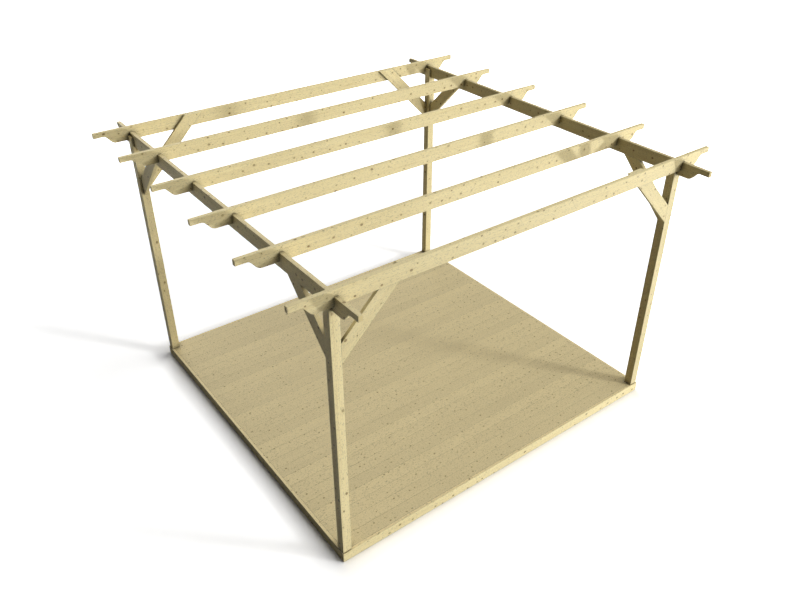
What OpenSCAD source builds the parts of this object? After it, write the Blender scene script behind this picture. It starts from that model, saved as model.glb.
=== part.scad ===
// Wooden pergola on a low timber deck.
// Four slotted posts carry two side beams, six rafters are notched over the beams,
// and eight knee braces stiffen the corners. Every end of a beam or rafter has an ogee tail.
// +Z is up, +X is to the right and +Y is to the back.
// The origin is on the ground, under the middle of the deck.

/* [Deck] */
// Width of the deck, side to side
deck_w = 3600; // [2400:50:5400]
// Depth of the deck, front to back
deck_d = 3480; // [2400:20:5400]
// Height of the deck surface above the ground
deck_h = 93; // [70:1:250]
// Thickness of the deck boards
board_t = 28; // [20:1:40]
// Thickness of the boards around the deck's edge
edge_t = 28; // [18:1:45]
// Width of one joist
joist_w = 45; // [35:1:75]
// Number of joists, odd so that one lies under the middle
joist_count = 9; // [5:2:15]

/* [Posts] */
// Side of the square post
post_w = 80; // [60:1:150]
// Height of the post's cheeks above the beam's underside
cheek_h = 93; // [40:1:115]
// Step from the deck's left and right edges to the posts
post_inset_x = 7; // [0:1:300]
// Step from the deck's front and back edges to the posts
post_inset_y = 10; // [0:1:300]

/* [Beams and rafters] */
// Thickness of the beams, rafters and side braces
plank_t = 35; // [25:1:50]
// Depth of the beams and rafters
plank_d = 125; // [100:1:200]
// Height of the beams' top above the deck surface
beam_top = 2450; // [2100:1:3000]
// Height of the rafters' top above the beams' top
rafter_rise = 50; // [20:1:70]
// Reach of the beams past the deck's front edge
beam_reach_front = 295; // [240:1:500]
// Reach of the beams past the deck's back edge
beam_reach_back = 325; // [240:1:500]
// Reach of the rafters past the deck's left and right edges
rafter_reach = 300; // [240:1:500]
// Number of rafters between the first and the last
inner_rafters = 4; // [1:1:8]
// Spacing from the front rafter to the next one
front_bay = 695; // [300:1:900]
// Spacing from the back rafter to the next one
back_bay = 670; // [300:1:900]

/* [Ogee tails] */
// Depth of wood left at the tip of a tail
tip_d = 47; // [30:1:60]
// Length of the straight underside at the tip
tip_l = 86; // [40:1:120]
// Radius of the hollow curve
cove_r = 40; // [20:1:60]
// Radius of the bulging curve
bulge_r = 65; // [30:1:75]
// Steepest angle of the ogee
ogee_angle = 50; // [40:1:60]

/* [Braces] */
// Depth of a brace, square to its length
brace_d = 120; // [70:1:140]
// Thickness of the end braces
end_brace_t = 28; // [18:1:34]
// Drop from the beams' underside to the foot of the side braces
side_brace_drop = 485; // [300:1:700]
// Drop from the beams' underside to the foot of the front end braces
front_brace_drop = 455; // [300:1:700]
// Drop from the beams' underside to the foot of the back end braces
back_brace_drop = 480; // [300:1:700]

/* [Fits] */
// Gap on each side of a plank in its slot or notch
fit = 0.5; // [0.2:0.1:2]

/* [Hidden] */
TIMBER = [0.88, 0.81, 0.62];
DECKING = [0.76, 0.69, 0.51];
ARC_STEPS = 12;
CUT = 1;
slot_w = plank_t + 2 * fit;
beam_bottom = beam_top - plank_d;
post_h = beam_bottom + cheek_h;
rafter_top = beam_top + rafter_rise;
rafter_bottom = rafter_top - plank_d;
// The beam and the rafter each give up half of the depth that they share.
lap_level = (beam_top + rafter_bottom) / 2;
// Middle lines and faces, measured from the deck's middle.
post_x = deck_w / 2 - post_inset_x - post_w / 2;
post_y = deck_d / 2 - post_inset_y - post_w / 2;
post_outer_y = post_y + post_w / 2;
beam_front = -deck_d / 2 - beam_reach_front;
beam_length = deck_d + beam_reach_front + beam_reach_back;
rafter_length = deck_w + 2 * rafter_reach;
rafter_count = inner_rafters + 2;
// The end rafters lie flat against the outer faces of the posts.
first_rafter_y = -post_outer_y - plank_t / 2;
last_rafter_y = post_outer_y + plank_t / 2;
second_rafter_y = first_rafter_y + front_bay;
inner_span = last_rafter_y - back_bay - second_rafter_y;
inner_pitch = inner_span / max(inner_rafters - 1, 1);
rafter_ys = concat(
    [first_rafter_y],
    [for (i = [0 : inner_rafters - 1]) second_rafter_y + i * inner_pitch],
    [last_rafter_y]
);
inner_w = deck_w - 2 * edge_t;
inner_d = deck_d - 2 * edge_t;
joist_pitch = inner_w / (joist_count + 1);

RAFTERS = [for (i = [1 : rafter_count]) str("rafter_", i)];

// Points along an arc about [cx, cy], from angle a to angle b.
function arc(cx, cy, r, a, b) = [
    for (i = [0 : ARC_STEPS]) let (t = a + (b - a) * i / ARC_STEPS) [cx + r * cos(t), cy + r * sin(t)]
];

// Underside of a tail, from its tip to the full depth, as [distance from the tip, depth below the top].
cove_run = cove_r * sin(ogee_angle);
cove_drop = cove_r * (1 - cos(ogee_angle));
bulge_run = bulge_r * sin(ogee_angle);
bulge_drop = bulge_r * (1 - cos(ogee_angle));
slope_drop = plank_d - tip_d - cove_drop - bulge_drop;
slope_run = slope_drop / tan(ogee_angle);
ogee_l = tip_l + cove_run + slope_run + bulge_run;
tail_outline = concat(
    [[0, tip_d]],
    arc(tip_l, tip_d + cove_r, cove_r, -90, -90 + ogee_angle),
    arc(ogee_l, plank_d - bulge_r, bulge_r, 90 + ogee_angle, 90)
);

// Side view of a plank with a tail at both ends: length along X, top edge on Y = 0.
module tailed_outline(length) {
    left = [for (p = tail_outline) [p[0], -p[1]]];
    right = [for (i = [len(tail_outline) - 1 : -1 : 0]) [length - tail_outline[i][0], -tail_outline[i][1]]];
    polygon(concat([[0, 0]], left, right, [[length, 0]]));
}

// Plank with two tails, from X = 0 along +X, its top on Z = 0 and its thickness centred on Y = 0.
module tailed_plank(length) {
    translate([0, plank_t / 2, 0])
        rotate([90, 0, 0])
            linear_extrude(height = plank_t)
                tailed_outline(length);
}

// Post whose top is slotted front to back for the beam, standing on the deck at [sx, sy] times its place.
module post(sx, sy) {
    color(TIMBER)
        translate([sx * post_x, sy * post_y, deck_h])
            difference() {
                translate([-post_w / 2, -post_w / 2, 0])
                    cube([post_w, post_w, post_h]);
                translate([-slot_w / 2, -post_w / 2 - CUT, beam_bottom])
                    cube([slot_w, post_w + 2 * CUT, post_h]);
            }
}

// Side beam that lies in the post slots, notched from above for every rafter.
module beam(sx) {
    color(TIMBER)
        difference() {
            translate([sx * post_x, beam_front, deck_h + beam_top])
                rotate([0, 0, 90])
                    tailed_plank(beam_length);
            for (y = rafter_ys)
                translate([sx * post_x - plank_t / 2 - CUT, y - slot_w / 2, deck_h + lap_level])
                    cube([plank_t + 2 * CUT, slot_w, plank_d]);
        }
}

// Rafter number i, counted from the front, notched from below for both beams.
module rafter(i) {
    color(TIMBER)
        difference() {
            translate([-rafter_length / 2, rafter_ys[i - 1], deck_h + rafter_top])
                tailed_plank(rafter_length);
            for (sx = [-1, 1])
                translate([sx * post_x, rafter_ys[i - 1], deck_h + lap_level - plank_d])
                    translate([-slot_w / 2, -plank_t / 2 - CUT, 0])
                        cube([slot_w, plank_t + 2 * CUT, plank_d]);
        }
}

// Knee brace at 45 degrees, as an outline: it stands against X = 0 from height foot up, and is cut level at head.
module brace_outline(foot, head) {
    cut_l = brace_d * sqrt(2);
    reach = head - foot;
    polygon([[0, foot], [reach, head], [reach - cut_l, head], [0, foot + cut_l]]);
}

// Brace in line with a beam, from the post's inner face up to the beam's underside.
module side_brace(sx, sy) {
    color(TIMBER)
        translate([sx * post_x - plank_t / 2, sy * (post_y - post_w / 2), deck_h])
            rotate([90, 0, sy < 0 ? 90 : -90])
                translate([0, 0, sy < 0 ? 0 : -plank_t])
                    linear_extrude(height = plank_t)
                        brace_outline(beam_bottom - side_brace_drop, beam_bottom);
}

// Brace flat against the inside of an end rafter, from the post's inner face up to the rafter's top.
module end_brace(sx, sy) {
    drop = sy < 0 ? front_brace_drop : back_brace_drop;
    color(TIMBER)
        translate([sx * (post_x - post_w / 2), sy * (post_outer_y - end_brace_t / 2), deck_h])
            mirror([sx > 0 ? 1 : 0, 0, 0])
                rotate([90, 0, 0])
                    translate([0, 0, -end_brace_t / 2])
                        linear_extrude(height = end_brace_t)
                            brace_outline(beam_bottom - drop, rafter_top);
}

// Deck surface between the edge boards, laid on the joists.
module deck_boards() {
    color(DECKING)
        translate([-inner_w / 2, -inner_d / 2, deck_h - board_t])
            cube([inner_w, inner_d, board_t]);
}

// Joists from the front edge board to the back one, standing on the ground.
module deck_joists() {
    color(DECKING)
        for (i = [1 : joist_count])
            translate([-inner_w / 2 + i * joist_pitch - joist_w / 2, -inner_d / 2, 0])
                cube([joist_w, inner_d, deck_h - board_t]);
}

// Edge board across the full width of the deck, at the front (sy = -1) or the back (sy = 1).
module edge_across(sy) {
    color(TIMBER)
        translate([-deck_w / 2, sy * (deck_d - edge_t) / 2 - edge_t / 2, 0])
            cube([deck_w, edge_t, deck_h]);
}

// Edge board between the front and back ones, on the left (sx = -1) or the right (sx = 1).
module edge_along(sx) {
    color(TIMBER)
        translate([sx * (deck_w - edge_t) / 2 - edge_t / 2, -inner_d / 2, 0])
            cube([edge_t, inner_d, deck_h]);
}

post(-1, -1);  // post_front_left
post(1, -1);  // post_front_right
post(-1, 1);  // post_back_left
post(1, 1);  // post_back_right
beam(-1);  // beam_left
beam(1);  // beam_right
for (i = [1 : rafter_count]) rafter(i);
side_brace(-1, -1);  // brace_front_left_side
side_brace(1, -1);  // brace_front_right_side
side_brace(-1, 1);  // brace_back_left_side
side_brace(1, 1);  // brace_back_right_side
end_brace(-1, -1);  // brace_front_left_end
end_brace(1, -1);  // brace_front_right_end
end_brace(-1, 1);  // brace_back_left_end
end_brace(1, 1);  // brace_back_right_end
deck_boards();
deck_joists();
edge_across(-1);  // edge_front
edge_across(1);  // edge_back
edge_along(-1);  // edge_left
edge_along(1);  // edge_right
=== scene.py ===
"""Looks of the wooden pergola: planed pine timbers, deck boards and screws, on a plain pale floor."""

import math
import random

import bmesh
import bpy
from mathutils import Matrix, Vector


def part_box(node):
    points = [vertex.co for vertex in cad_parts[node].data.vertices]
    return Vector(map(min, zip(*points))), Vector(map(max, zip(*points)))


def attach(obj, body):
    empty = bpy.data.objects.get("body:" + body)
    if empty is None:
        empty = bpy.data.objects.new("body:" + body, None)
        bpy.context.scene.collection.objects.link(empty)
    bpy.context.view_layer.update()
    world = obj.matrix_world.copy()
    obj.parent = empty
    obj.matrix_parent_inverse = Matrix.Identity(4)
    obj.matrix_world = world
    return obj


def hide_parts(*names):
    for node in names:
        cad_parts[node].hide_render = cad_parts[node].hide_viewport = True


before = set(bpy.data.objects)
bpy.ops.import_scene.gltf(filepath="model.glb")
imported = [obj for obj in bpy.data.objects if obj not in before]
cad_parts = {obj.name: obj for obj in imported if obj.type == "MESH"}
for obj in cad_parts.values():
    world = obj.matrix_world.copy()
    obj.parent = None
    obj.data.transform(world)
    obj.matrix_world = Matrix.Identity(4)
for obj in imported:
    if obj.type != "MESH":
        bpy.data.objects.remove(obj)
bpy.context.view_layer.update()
rng = random.Random(4127)

SIDES = ("left", "right")
ENDS = ("front", "back")
RAFTERS = sorted((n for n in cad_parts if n.startswith("rafter_")), key=lambda n: int(n.split("_")[1]))

# ---------------------------------------------------------------- camera
CAMERA_AT = (-3.8603, -5.2520, 5.1733)
CAMERA_TURN = (56.735, 0.0, -36.751)
LENS_MM = 34.87
SENSOR_MM = 36.0

cam_data = bpy.data.cameras.new("camera")
cam_data.lens = LENS_MM
cam_data.sensor_width = SENSOR_MM
cam = bpy.data.objects.new("camera", cam_data)
cam.location = CAMERA_AT
cam.rotation_euler = [math.radians(a) for a in CAMERA_TURN]
bpy.context.scene.collection.objects.link(cam)
bpy.context.scene.camera = cam


# ---------------------------------------------------------------- node helpers
class Shader:
    """A material under construction. Each method adds a node and returns its output socket."""

    def __init__(self, name):
        self.material = bpy.data.materials.new(name)
        self.material.use_nodes = True
        self.tree = self.material.node_tree
        self.tree.nodes.clear()

    def add(self, kind, inputs=(), out=0, **settings):
        node = self.tree.nodes.new("ShaderNode" + kind)
        for key, value in settings.items():
            setattr(node, key, value)
        items = inputs.items() if isinstance(inputs, dict) else enumerate(inputs)
        for key, value in items:
            self.put(node.inputs[key], value)
        return node.outputs[out]

    def put(self, socket, value):
        if isinstance(value, bpy.types.NodeSocket):
            self.tree.links.new(value, socket)
        elif value is not None:
            socket.default_value = value

    def math(self, operation, *values):
        return self.add("Math", values, operation=operation)

    def vmath(self, operation, *values):
        out = 1 if operation in ("LENGTH", "DOT_PRODUCT", "DISTANCE") else 0
        return self.add("VectorMath", values, out=out, operation=operation)

    def attribute(self, name, out="Fac"):
        return self.add("Attribute", out=out, attribute_name=name)

    def combine(self, x, y, z):
        return self.add("CombineXYZ", (x, y, z))

    def separate(self, vector):
        node = self.add("SeparateXYZ", (vector,)).node
        return node.outputs[0], node.outputs[1], node.outputs[2]

    def noise(self, vector, scale=1.0, detail=2.0, rough=0.5):
        inputs = {"Vector": vector, "Scale": scale, "Detail": detail, "Roughness": rough}
        return self.add("TexNoise", inputs)

    def remap(self, value, a, b, c=0.0, d=1.0, smooth=False):
        kind = "SMOOTHSTEP" if smooth else "LINEAR"
        return self.add("MapRange", (value, a, b, c, d), interpolation_type=kind)

    def mix(self, factor, a, b, blend="MIX"):
        node = self.add("Mix", data_type="RGBA", blend_type=blend).node
        self.put(node.inputs[0], factor)
        self.put(node.inputs[6], a)
        self.put(node.inputs[7], b)
        return node.outputs[2]

    def finish(self, surface):
        output = self.tree.nodes.new("ShaderNodeOutputMaterial")
        self.tree.links.new(surface, output.inputs[0])
        return self.material


def tone(r, g, b):
    """A colour given as 0 to 255 screen values, as the linear colour that nodes use."""
    def linear(c):
        c /= 255
        return c / 12.92 if c <= 0.04045 else ((c + 0.055) / 1.055) ** 2.4

    return (linear(r), linear(g), linear(b), 1.0)


# Lengths in the wood, in metres: a growth ring's width, and how far the painted shade in inner corners
# reaches.
RING_WIDTH = 0.0062
CORNER_SHADE_REACH = 0.10
# How fine each pattern is: features in a metre along, across and through the grain.
FIBRES = (9.0, 420.0, 420.0)
STREAKS = (1.3, 46.0, 46.0)
CLOUDS = (1.2, 5.0, 5.0)
FLECKS = (60.0, 170.0, 170.0)
RING_DRIFT = (1.1, 7.0, 7.0)
RING_SWAY = (0.7, 4.0, 4.0)
RING_PATCHES = (1.6, 11.0, 11.0)
# How far a piece's seed moves it through the patterns, and how many knot cells a face's key moves it.
SEED_SHIFT = (91.0, 37.0)
FACE_SHIFT = (13.7, 5.3)
# How much longer than wide a knot cell is.
CELL_STRETCH = 1.25
# Colours of the bark ring round a knot and of a handled arris.
KNOT_RIM = tone(104, 84, 46)
WORN = tone(244, 232, 192)


def grained(s, place, fineness, **settings):
    """Noise drawn out along the grain."""
    return s.noise(s.vmath("MULTIPLY", place, fineness), **settings)


def knots(s, place, cell_size, share, radii):
    """Knots scattered over each face, as core, bark rim, halo and darkness.

    They lie in cells of cell_size metres. share is the share of cells with one, and radii its range of size.
    """
    along, across, key = s.separate(s.attribute("face", "Vector"))
    cell = s.combine(
        s.math("MULTIPLY_ADD", key, FACE_SHIFT[0], s.math("DIVIDE", along, cell_size * CELL_STRETCH)),
        s.math("MULTIPLY_ADD", key, FACE_SHIFT[1], s.math("DIVIDE", across, cell_size)),
        0.0,
    )
    wobble = s.noise(place, scale=38.0)
    cell = s.vmath("ADD", cell, s.combine(s.math("MULTIPLY_ADD", wobble, 0.12, -0.06), 0.0, 0.0))
    inputs = {"Vector": cell, "Scale": 1.0, "Randomness": 0.92}
    voronoi = s.add("TexVoronoi", inputs, voronoi_dimensions="2D").node
    distance = s.math("MULTIPLY", voronoi.outputs["Distance"], cell_size)
    pick, size, dark = s.separate(voronoi.outputs["Color"])
    kept = s.remap(pick, 1.0 - share - 0.02, 1.0 - share + 0.02)
    reach = s.math("DIVIDE", distance, s.remap(size, 0.0, 1.0, *radii))
    from_rim = s.math("ABSOLUTE", s.math("SUBTRACT", reach, 0.95))
    core = s.remap(reach, 0.75, 1.15, 1.0, 0.0, smooth=True)
    rim = s.remap(from_rim, 0.0, 0.3, 1.0, 0.0)
    halo = s.remap(reach, 0.9, 3.2, 1.0, 0.0, smooth=True)
    core, rim, halo = [s.math("MULTIPLY", part, kept) for part in (core, rim, halo)]
    return core, rim, halo, dark


def late_rings(s, place, halo):
    """Late wood, in rings round a pith off the plank's middle, bent round knots and stronger in patches."""
    _, across, through = s.separate(s.attribute("plank", "Vector"))
    seed = s.attribute("seed")
    pith_v = s.math("MULTIPLY_ADD", seed, 0.09, -0.06)
    pith_w = s.math("MULTIPLY_ADD", seed, 0.05, 0.02)
    drift = grained(s, place, RING_DRIFT)
    sway = grained(s, place, RING_SWAY, detail=1.0)
    ring_v = s.math("ADD", s.math("MULTIPLY_ADD", drift, 0.030, across), pith_v)
    ring_w = s.math("ADD", s.math("MULTIPLY_ADD", sway, 0.035, through), pith_w)
    depth = s.vmath("LENGTH", s.combine(0.0, ring_v, ring_w))
    rings = s.math("ADD", s.math("DIVIDE", depth, RING_WIDTH), s.math("MULTIPLY", halo, 1.6))
    band = s.remap(s.math("PINGPONG", rings, 0.5), 0.22, 0.5, 0.0, 1.0, smooth=True)
    strength = s.remap(grained(s, place, RING_PATCHES), 0.3, 0.7, 0.25, 1.0)
    return s.math("MULTIPLY", band, strength)


def pine(name, early, late, knot, knot_cell, knot_share, knot_radii, ring_strength, speckle, grain_depth):
    """Planed pine. Its growth rings run through the solid, so that faces and ends agree.

    early, late and knot are colours. ring_strength and speckle go from 0 to 1, and grain_depth is in metres.
    """
    s = Shader(name)
    seed = s.attribute("seed")
    shift = s.combine(s.math("MULTIPLY", seed, SEED_SHIFT[0]), s.math("MULTIPLY", seed, SEED_SHIFT[1]), seed)
    place = s.vmath("ADD", s.attribute("plank", "Vector"), shift)
    core, rim, halo, dark = knots(s, place, knot_cell, knot_share, knot_radii)
    late_wood = late_rings(s, place, halo)
    fibre = grained(s, place, FIBRES, detail=3.0, rough=0.6)
    streak = s.remap(grained(s, place, STREAKS, detail=3.0), 0.35, 0.75)
    cloud = s.remap(grained(s, place, CLOUDS), 0.25, 0.75, 0.965, 1.03)
    fleck = s.remap(grained(s, place, FLECKS, rough=0.6), 0.54, 0.74)

    colour = s.mix(s.math("MULTIPLY", late_wood, ring_strength), early, late)
    colour = s.mix(s.math("MULTIPLY", streak, ring_strength * 0.6), colour, late)

    shade = s.math("MULTIPLY", s.remap(fibre, 0.25, 0.75, 0.945, 1.05), cloud)
    shade = s.math("MULTIPLY", shade, s.remap(fleck, 0.0, 1.0, 1.0, 1.0 - speckle))
    # The tone attribute holds each plank's own tone, and painted light and shade over whole posts, beams and
    # edge boards.
    shade = s.math("MULTIPLY", shade, s.attribute("tone"))
    # Painted shade: inner corners, where timbers meet, are darkened by ambient occlusion beyond what the
    # lamps leave them.
    painted_corner_shade = s.add("AmbientOcclusion", {"Distance": CORNER_SHADE_REACH}, out="AO", samples=6)
    shade = s.math("MULTIPLY", shade, s.remap(painted_corner_shade, 0.42, 0.86, 0.05, 1.0))
    colour = s.mix(1.0, colour, s.combine(shade, shade, shade), "MULTIPLY")

    colour = s.mix(s.math("MULTIPLY", halo, 0.22), colour, late)
    knot_strength = s.remap(dark, 0.0, 1.0, 0.45, 0.95)
    colour = s.mix(s.math("MULTIPLY", core, knot_strength), colour, knot)
    colour = s.mix(s.math("MULTIPLY", rim, s.math("MULTIPLY", knot_strength, 0.45)), colour, KNOT_RIM)

    # Ends drink more stain, and handled corners are paler and rougher.
    colour = s.mix(s.math("MULTIPLY", s.attribute("end_grain"), 0.5), colour, late)
    wear = s.remap(s.noise(place, scale=22.0, detail=3.0), 0.35, 0.65, 0.15, 0.75)
    worn = s.math("MULTIPLY", s.attribute("arris"), wear)
    colour = s.mix(s.math("MULTIPLY", worn, 0.35), colour, WORN)

    rough = s.math("MULTIPLY_ADD", fibre, 0.18, 0.52)
    rough = s.math("MULTIPLY_ADD", worn, 0.10, rough)
    rough = s.math("MULTIPLY_ADD", core, -0.12, rough)
    height = s.math("MULTIPLY_ADD", fibre, 0.55, s.math("MULTIPLY", late_wood, 0.30))
    height = s.math("MULTIPLY_ADD", rim, -0.5, height)
    height = s.math("MULTIPLY_ADD", fleck, -0.35, height)
    bump = s.add("Bump", {"Strength": 0.55, "Distance": grain_depth, "Height": height})
    surface = s.add(
        "BsdfPrincipled",
        {"Base Color": colour, "Roughness": rough, "Normal": bump, "Specular IOR Level": 0.32},
    )
    return s.finish(surface)


def steel(name):
    """Dull zinc-coated steel of the screw heads."""
    s = Shader(name)
    spot = s.add("TexCoord", out="Object")
    cloud = s.noise(spot, scale=900.0, detail=3.0)
    colour = s.mix(s.remap(cloud, 0.3, 0.7), tone(150, 142, 118), tone(184, 178, 156))
    rough = s.remap(cloud, 0.3, 0.7, 0.38, 0.6)
    bump = s.add("Bump", {"Strength": 0.3, "Distance": 0.0002, "Height": cloud})
    surface = s.add(
        "BsdfPrincipled",
        {"Base Color": colour, "Metallic": 0.85, "Roughness": rough, "Normal": bump},
    )
    return s.finish(surface)


FRAME_PINE = pine(
    "pine_frame", tone(238, 223, 172), tone(206, 184, 122), tone(126, 100, 54),
    knot_cell=0.095, knot_share=0.66, knot_radii=(0.004, 0.0105),
    ring_strength=0.42, speckle=0.44, grain_depth=0.0007,
)
DECK_PINE = pine(
    "pine_deck", tone(224, 207, 159), tone(206, 187, 136), tone(124, 102, 64),
    knot_cell=0.07, knot_share=0.62, knot_radii=(0.0025, 0.0068),
    ring_strength=0.20, speckle=0.55, grain_depth=0.0006,
)
STEEL = steel("screw_steel")


# ---------------------------------------------------------------- timber
ARRIS = 0.0022
# In radians: edges that turn more than CREASE are eased, and those that turn less than SMOOTH look smooth.
CREASE = 0.6
SMOOTH = 0.55
# Faces turned along the grain by more than this share are end grain.
END_GRAIN = 0.85
# How near two points of a CAD mesh are one, and how flat two of its faces are to be one.
WELD = 1e-5
FLAT = 0.004
# How much the tone of one timber or one board may wander.
TIMBER_WANDER = 0.03
BOARD_WANDER = 0.02
# Keys that keep the knots of a piece's long faces apart: broad, narrow, and the far one of each two.
BROAD_KEY, NARROW_KEY, FAR_KEY = 0.31, 0.77, 0.13


def add_piece(bm, name, material):
    """Turns bm into a named piece on the one body."""
    mesh = bpy.data.meshes.new(name)
    bm.normal_update()
    bm.to_mesh(mesh)
    bm.free()
    mesh.materials.append(material)
    piece = bpy.data.objects.new(name, mesh)
    bpy.context.scene.collection.objects.link(piece)
    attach(piece, "root")
    return piece


def mark_grain(mesh, grain, seed, shade):
    """Gives every point its place in the plank and on its face, for the grain and the knots to follow.

    grain is (along, across, through), three unit vectors; faces turned along the grain are end grain.
    shade is how light this one plank is, with 1 as the plain tone of the material; for posts, beams and edge
    boards it also holds painted light and shade.
    """
    mesh.update()
    low = Vector([min(v.co[i] for v in mesh.vertices) for i in range(3)])
    high = Vector([max(v.co[i] for v in mesh.vertices) for i in range(3)])
    middle = (low + high) / 2
    along, across, through = grain
    plank = mesh.attributes.new("plank", "FLOAT_VECTOR", "POINT")
    for v in mesh.vertices:
        d = v.co - middle
        plank.data[v.index].vector = (d.dot(along), d.dot(across), d.dot(through))
    face = mesh.attributes.new("face", "FLOAT_VECTOR", "CORNER")
    seeds = mesh.attributes.new("seed", "FLOAT", "FACE")
    tones = mesh.attributes.new("tone", "FLOAT", "FACE")
    end_grain = mesh.attributes.new("end_grain", "FLOAT", "FACE")
    for p in mesh.polygons:
        n = p.normal
        parts = (abs(n.dot(along)), abs(n.dot(across)), abs(n.dot(through)))
        seeds.data[p.index].value = seed
        tones.data[p.index].value = shade
        end_grain.data[p.index].value = 1.0 if parts[0] > END_GRAIN else 0.0
        broad = parts[2] >= parts[1]
        sideways, outwards = (across, through) if broad else (through, across)
        key = seed + (BROAD_KEY if broad else NARROW_KEY)
        if n.dot(outwards) > 0:
            key += FAR_KEY
        for c in p.loop_indices:
            d = mesh.vertices[mesh.loops[c].vertex_index].co - middle
            face.data[c].vector = (d.dot(along), d.dot(sideways), key)


def ease_edges(bm, width):
    """Rounds the outer arrises, and marks the new faces as worn."""
    worn = bm.faces.layers.float.new("arris")
    edges = [e for e in bm.edges if len(e.link_faces) == 2 and e.is_convex and e.calc_face_angle() > CREASE]
    made = bmesh.ops.bevel(
        bm, geom=edges, offset=width, segments=2, profile=0.5, affect="EDGES", clamp_overlap=True
    )
    for f in made["faces"]:
        f[worn] = 1.0


def timber(node, grain, shade=1.0):
    """The CAD node's own shape with eased arrises, as a piece that stands for it."""
    bm = bmesh.new()
    bm.from_mesh(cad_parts[node].data)
    bmesh.ops.remove_doubles(bm, verts=bm.verts, dist=WELD)
    bmesh.ops.dissolve_limit(bm, angle_limit=FLAT, verts=bm.verts, edges=bm.edges)
    ease_edges(bm, ARRIS)
    seed = rng.random()
    shade += TIMBER_WANDER * (seed - 0.5)
    piece = add_piece(bm, node + "_timber", FRAME_PINE)
    mark_grain(piece.data, grain, seed, shade)
    smooth_by_angle(piece.data)
    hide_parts(node)
    return piece


def smooth_by_angle(mesh):
    """Smooth shading round the arrises and curves, while the flat faces beside an arris stay truly flat."""
    mesh.shade_smooth()
    bm = bmesh.new()
    bm.from_mesh(mesh)
    worn = bm.faces.layers.float["arris"]
    for e in bm.edges:
        if len(e.link_faces) == 2:
            one, other = e.link_faces
            e.smooth = e.calc_face_angle() < SMOOTH and one[worn] == other[worn]
    bm.to_mesh(mesh)
    bm.free()


X, Y, Z = Vector((1, 0, 0)), Vector((0, 1, 0)), Vector((0, 0, 1))
# Painted light and shade: posts, beams and edge boards are each lightened as a whole where the lamps leave
# them too dark, and darkened where the lamps leave them too light.
POST_PAINTED_LIGHT_AND_SHADE = {
    ("front", "left"): 1.11, ("front", "right"): 0.95,
    ("back", "left"): 0.97, ("back", "right"): 1.0,
}
BEAM_PAINTED_SHADE = {"left": 0.97, "right": 0.85}
EDGE_PAINTED_LIGHT = {"front": 1.15, "back": 1.10, "left": 1.15, "right": 1.10}
for end in ENDS:
    for side in SIDES:
        timber(f"post_{end}_{side}", (Z, X, Y), POST_PAINTED_LIGHT_AND_SHADE[end, side])
for side in SIDES:
    timber(f"beam_{side}", (Y, Z, X), BEAM_PAINTED_SHADE[side])
for node in RAFTERS:
    timber(node, (X, Z, Y))
for end in ENDS:
    for side in SIDES:
        lean = 1 if end == "front" else -1
        slope = (Y * lean + Z).normalized()
        timber(f"brace_{end}_{side}_side", (slope, slope.cross(X), X))
        lean = 1 if side == "left" else -1
        slope = (X * lean + Z).normalized()
        timber(f"brace_{end}_{side}_end", (slope, slope.cross(Y), Y))
edge_pieces = [timber(f"edge_{end}", (X, Z, Y), EDGE_PAINTED_LIGHT[end]) for end in ENDS]
edge_pieces += [timber(f"edge_{side}", (Y, Z, X), EDGE_PAINTED_LIGHT[side]) for side in SIDES]
# The tops of the edge boards look like the deck that they frame.
UPWARD = 0.5
for piece in edge_pieces:
    piece.data.materials.append(DECK_PINE)
    for p in piece.data.polygons:
        if p.normal.z > UPWARD:
            p.material_index = 1
timber("deck_joists", (Y, Z, X))


# ---------------------------------------------------------------- deck boards
BOARD_PITCH = 0.1233
BOARD_GAP = 0.0007
BOARD_END_GAP = 0.0006
BOARD_ARRIS = 0.0008
# Boards go from DARK to PALE and start again, as if this many in a row were cut from one plank.
PLANK_CUTS = 4
PALE, DARK = 1.035, 0.965


def block(bm, low, high):
    """A box between two corners."""
    made = bmesh.ops.create_cube(bm, size=1.0)
    for v in made["verts"]:
        v.co = Vector([low[i] if v.co[i] < 0 else high[i] for i in range(3)])


deck_low, deck_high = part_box("deck_boards")
board_count = math.ceil((deck_high.y - deck_low.y) / BOARD_PITCH)
for i in range(board_count):
    bm = bmesh.new()
    y0 = deck_low.y + i * BOARD_PITCH + BOARD_GAP / 2
    y1 = min(deck_low.y + (i + 1) * BOARD_PITCH, deck_high.y) - BOARD_GAP / 2
    low = (deck_low.x + BOARD_END_GAP, y0, deck_low.z)
    high = (deck_high.x - BOARD_END_GAP, y1, deck_high.z)
    block(bm, low, high)
    ease_edges(bm, BOARD_ARRIS)
    seed = rng.random()
    shade = DARK + (PALE - DARK) * (i % PLANK_CUTS) / (PLANK_CUTS - 1) + BOARD_WANDER * (seed - 0.5)
    board = add_piece(bm, f"deck_board_{i + 1:02d}", DECK_PINE)
    mark_grain(board.data, (X, Y, Z), seed, shade)
    smooth_by_angle(board.data)
    if i == 0:
        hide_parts("deck_boards")


# ---------------------------------------------------------------- screws
HEAD_R = 0.0042
HEAD_SIDES = 12
# How far a head's rim lies under the wood's face.
HEAD_SUNK = 0.0003
# Rings of a head, from its rim to the floor of its recess: share of HEAD_R, and height.
HEAD_RINGS = ((1.06, 0.0), (1.0, 0.00045), (0.62, 0.0006), (0.40, -0.0009))
# Share of its reach that the recess keeps between the arms of its cross.
CROSS_WAIST = 0.5


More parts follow.
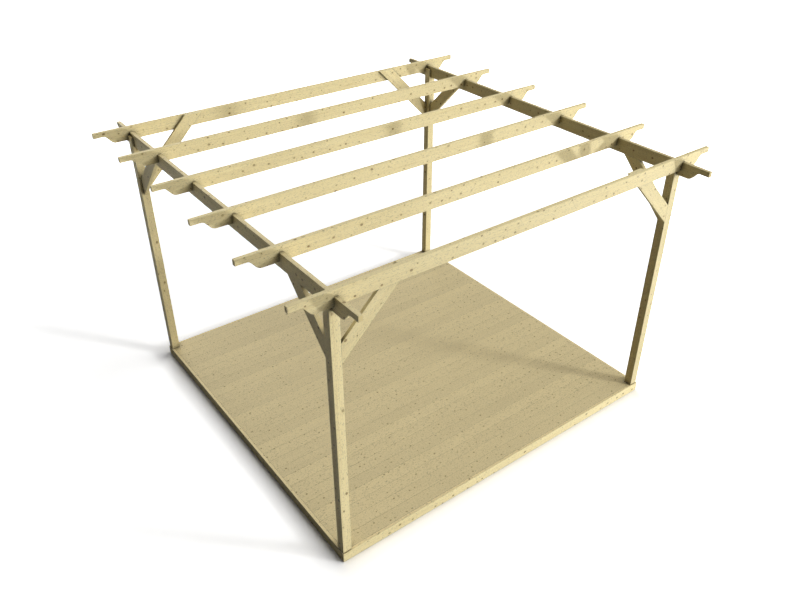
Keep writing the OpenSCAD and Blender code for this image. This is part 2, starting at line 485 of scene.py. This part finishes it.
def head(bm, at, axis):
    """A screw head with a cross recess, its rim round `at`.

    The wood isn't cut for the recess, so close up the wood's face shows inside the head.
    """
    axis = axis.normalized()
    turn = axis.to_track_quat("Z", "Y").to_matrix() @ Matrix.Rotation(rng.uniform(0, math.pi), 3, "Z")
    loops = []
    for share, height in HEAD_RINGS:
        loop = []
        for k in range(HEAD_SIDES):
            # The recess is a cross: its arms reach out at every third point.
            reach = HEAD_R * share * (1.0 if height >= 0 or k % 3 == 0 else CROSS_WAIST)
            a = 2 * math.pi * k / HEAD_SIDES
            point = Vector((reach * math.cos(a), reach * math.sin(a), height))
            loop.append(bm.verts.new(Vector(at) + turn @ point))
        loops.append(loop)
    for inner, outer in zip(loops[1:], loops):
        for k in range(HEAD_SIDES):
            n = (k + 1) % HEAD_SIDES
            bm.faces.new((outer[k], outer[n], inner[n], inner[k]))
    bm.faces.new(loops[-1])
    bm.faces.new(list(reversed(loops[0])))


def screws(name, places):
    """One piece that holds a screw head at every (place on the wood, outward direction)."""
    bm = bmesh.new()
    for at, axis in places:
        head(bm, Vector(at) - axis.normalized() * HEAD_SUNK, axis)
    add_piece(bm, name, STEEL)


def middles(node, axis):
    """Where along an axis the separate solids of a node have their middles."""
    bm = bmesh.new()
    bm.from_mesh(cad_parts[node].data)
    values = sorted({round(v.co[axis], 4) for v in bm.verts})
    bm.free()
    return [(a + b) / 2 for a, b in zip(values[::2], values[1::2])]


JITTER = 0.003
SIDE_JITTER = 0.01


def jitter(amount=JITTER):
    """How far a hand-placed screw strays."""
    return rng.uniform(-amount, amount)


# Two screws hold every deck board on every joist, this far from its edges.
BOARD_EDGE = 0.026
joist_xs = middles("deck_joists", 0)
deck_places = []
for i in range(board_count):
    y0 = deck_low.y + i * BOARD_PITCH
    y1 = min(y0 + BOARD_PITCH, deck_high.y)
    for x in joist_xs:
        for y in (y0 + BOARD_EDGE, y1 - BOARD_EDGE):
            deck_places.append(((x + jitter(), y + jitter(), deck_high.z), Z))
screws("deck_screws", deck_places)

# The front and back edge boards are screwed to the joists' ends, and the side ones to the outer boards.
EDGE_IN = 0.014
EDGE_HEIGHTS = (0.25, 0.75)
SIDE_SCREWS = 8
edge_places = []
for end, sign in zip(ENDS, (-1, 1)):
    low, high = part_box(f"edge_{end}")
    y = low.y if sign < 0 else high.y
    for x in joist_xs + [low.x + EDGE_IN, high.x - EDGE_IN]:
        for share in EDGE_HEIGHTS:
            edge_places.append(((x + jitter(), y, low.z + (high.z - low.z) * share + jitter()), Y * sign))
for side, sign in zip(SIDES, (-1, 1)):
    low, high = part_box(f"edge_{side}")
    x = low.x if sign < 0 else high.x
    for k in range(SIDE_SCREWS):
        y = low.y + (k + 0.5) * (high.y - low.y) / SIDE_SCREWS
        edge_places.append(((x, y + jitter(SIDE_JITTER), high.z - BOARD_ARRIS - EDGE_IN), X * sign))
screws("edge_screws", edge_places)

# Two screws from outside hold each post's cheeks to the beam, and each end rafter to the posts.
# A bite is the height above the lower edge of beam or rafter, and a step the way from the post's middle.
BEAM_BITE = 0.03
CHEEK_STEP = 0.02
RAFTER_BITE = 0.018
RAFTER_STEP = 0.028
frame_places = []
for end, away in zip(ENDS, (-1, 1)):
    for side in SIDES:
        post_low, post_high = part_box(f"post_{end}_{side}")
        beam_low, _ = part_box(f"beam_{side}")
        mid_x, mid_y = (post_low.x + post_high.x) / 2, (post_low.y + post_high.y) / 2
        for step in (-1, 1):
            y = mid_y + step * CHEEK_STEP
            z = beam_low.z + BEAM_BITE * (2 if step > 0 else 1)
            frame_places.append(((post_high.x, y, z), X))
            frame_places.append(((post_low.x, y, z), -X))
        rafter_low, rafter_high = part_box(RAFTERS[0] if away < 0 else RAFTERS[-1])
        face_y = rafter_low.y if away < 0 else rafter_high.y
        for step in (-1, 1):
            at = (mid_x + step * RAFTER_STEP + jitter(), face_y, rafter_low.z + RAFTER_BITE + jitter())
            frame_places.append((at, Y * away))
screws("post_screws", frame_places)

# A screw from the back of each rafter goes down into the beam, just above the beam's top.
ABOVE_BEAM = 0.018
rafter_places = []
for node in RAFTERS:
    low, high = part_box(node)
    for side in SIDES:
        beam_low, beam_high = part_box(f"beam_{side}")
        at = ((beam_low.x + beam_high.x) / 2 + jitter(), high.y, beam_high.z + ABOVE_BEAM + jitter())
        rafter_places.append((at, Y))
screws("rafter_screws", rafter_places)

END_STEP = 0.05
# Length of a brace's level cut at its head.
HEAD_CUT = 0.170
# Face screws at the head: down the slope, and across it.
FACE_SCREWS = ((0.055, -0.022), (0.115, 0.022))


def places_on_brace(node, inward, face_out=None):
    """Where a brace's screws go: into its underside near both ends, and for some into a face at the head.

    inward points level from the brace's foot to its head, and face_out away from the face that is screwed.
    """
    low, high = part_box(node)
    middle, rise = (low + high) / 2, high.z - low.z
    span = (high - low).dot(Vector([abs(c) for c in inward]))
    slope, under = (inward + Z).normalized(), inward - Z
    foot = middle - inward * span / 2 - Z * rise / 2
    tip = foot + (inward + Z) * rise
    places = [(at, under) for at in (foot + slope * END_STEP, tip - slope * END_STEP)]
    if face_out is not None:
        face_y = high.y if face_out.y > 0 else low.y
        head_middle = middle + inward * (span - HEAD_CUT) / 2 + Z * rise / 2
        for step, across in FACE_SCREWS:
            at = head_middle - slope * step + under.normalized() * across
            places.append(((at.x, face_y, at.z), face_out))
    return places


brace_places = []
for end, away in zip(ENDS, (-1, 1)):
    for side, out in zip(SIDES, (-1, 1)):
        brace_places += places_on_brace(f"brace_{end}_{side}_side", Y * -away)
        brace_places += places_on_brace(f"brace_{end}_{side}_end", X * -out, Y * -away)
screws("brace_screws", brace_places)


# ---------------------------------------------------------------- floor, light and background
FLOOR_EXPOSURE = 1.75
# The round lamps' light fades with distance, and the floor's exposure makes up for it between these.
FADE_FROM, FADE_TO, FADE_GAIN = 4.0, 30.0, 6.0
FLOOR_BOUNCE = 0.09
# Painted contact shade: the floor's seen colour darkens where something stands this near.
CONTACT_SHADE_REACH = 0.3
FLOOR_SIZE = 120
# The floor lies a hair under the object.
FLOOR_DROP = 0.0005
# The world as it lights the object. The camera sees it white.
SOFT_COLOUR = (1.0, 0.99, 0.96, 1)
SOFT_STRENGTH = 0.018


def floor_material():
    """A pale studio floor, over-exposed where the camera sees it, so that only the object's shadow shows.
    Near the object its seen colour also takes painted contact shade.
    """
    s = Shader("studio_floor")
    path = s.add("LightPath").node
    viewed = s.math("MAXIMUM", path.outputs["Is Camera Ray"], path.outputs["Is Glossy Ray"])
    viewed = s.math("MAXIMUM", viewed, path.outputs["Is Transmission Ray"])
    # Painted shade: ambient occlusion darkens the floor's seen colour near the object.
    painted_contact_shade = s.add("AmbientOcclusion", {"Distance": CONTACT_SHADE_REACH}, out="AO", samples=8)
    away = s.vmath("LENGTH", s.add("NewGeometry", out="Position"))
    exposure = s.remap(away, FADE_FROM, FADE_TO, FLOOR_EXPOSURE, FLOOR_EXPOSURE * FADE_GAIN)
    level = s.math("MULTIPLY", painted_contact_shade, exposure)
    seen = s.add("BsdfDiffuse", {"Color": s.combine(level, level, level)})
    bounce = s.add("BsdfDiffuse", {"Color": (FLOOR_BOUNCE, FLOOR_BOUNCE, FLOOR_BOUNCE, 1)})
    return s.finish(s.add("MixShader", (viewed, bounce, seen)))


bpy.ops.mesh.primitive_plane_add(size=FLOOR_SIZE, location=(0, 0, -FLOOR_DROP))
floor = bpy.context.object
floor.name = "studio_floor"
floor.data.materials.append(floor_material())
floor.visible_shadow = False


def studio_world():
    """A world that lights the object softly, and that the camera sees as plain white."""
    world = bpy.data.worlds.new("studio")
    world.use_nodes = True
    nodes, links = world.node_tree.nodes, world.node_tree.links
    nodes.clear()
    path = nodes.new("ShaderNodeLightPath")
    soft = nodes.new("ShaderNodeBackground")
    soft.inputs["Color"].default_value = SOFT_COLOUR
    soft.inputs["Strength"].default_value = SOFT_STRENGTH
    white = nodes.new("ShaderNodeBackground")
    white.inputs["Color"].default_value = (1, 1, 1, 1)
    white.inputs["Strength"].default_value = 1.0
    viewed = path.outputs["Is Camera Ray"]
    for ray in ("Is Glossy Ray", "Is Transmission Ray"):
        either = nodes.new("ShaderNodeMath")
        either.operation = "MAXIMUM"
        links.new(viewed, either.inputs[0])
        links.new(path.outputs[ray], either.inputs[1])
        viewed = either.outputs[0]
    mixed = nodes.new("ShaderNodeMixShader")
    links.new(viewed, mixed.inputs[0])
    links.new(soft.outputs[0], mixed.inputs[1])
    links.new(white.outputs[0], mixed.inputs[2])
    output = nodes.new("ShaderNodeOutputWorld")
    links.new(mixed.outputs[0], output.inputs[0])
    return world


bpy.context.scene.world = studio_world()


def sun(name, azimuth, elevation, strength, spread):
    """A distant lamp. azimuth turns from -Y towards +X, and both angles and the spread are in degrees."""
    data = bpy.data.lights.new(name, "SUN")
    data.energy = strength
    data.angle = math.radians(spread)
    lamp = bpy.data.objects.new(name, data)
    a, e = math.radians(azimuth), math.radians(elevation)
    towards = Vector((math.sin(a) * math.cos(e), -math.cos(a) * math.cos(e), math.sin(e)))
    lamp.rotation_euler = towards.to_track_quat("Z", "Y").to_euler()
    bpy.context.scene.collection.objects.link(lamp)


def bulb(name, azimuth, height, watts, radius, distance=16.0):
    """A round lamp at a distance from the middle. azimuth is as for sun, and height is above the floor."""
    data = bpy.data.lights.new(name, "POINT")
    data.energy = watts
    data.shadow_soft_size = radius
    lamp = bpy.data.objects.new(name, data)
    a = math.radians(azimuth)
    lamp.location = (distance * math.sin(a), -distance * math.cos(a), height)
    bpy.context.scene.collection.objects.link(lamp)


KEY_AZIMUTH = 36.4
sun("overhead_softbox", azimuth=52.0, elevation=48.0, strength=1.34, spread=75.0)
sun("key_high", azimuth=KEY_AZIMUTH, elevation=24.0, strength=0.50, spread=14.0)
sun("back_fill", azimuth=166.0, elevation=24.0, strength=0.85, spread=34.0)
bulb("key_low", azimuth=KEY_AZIMUTH, height=6.2, watts=3050, radius=0.9)
# This one shines up from below: the floor casts no shadow, so its light passes through.
bulb("floor_kick", azimuth=KEY_AZIMUTH + 1.5, height=-3.5, watts=4150, radius=0.3)
bulb("ceiling_panel", azimuth=135.0, height=11.0, watts=500, radius=1.6, distance=2.1)

bpy.context.scene.view_settings.view_transform = "Standard"
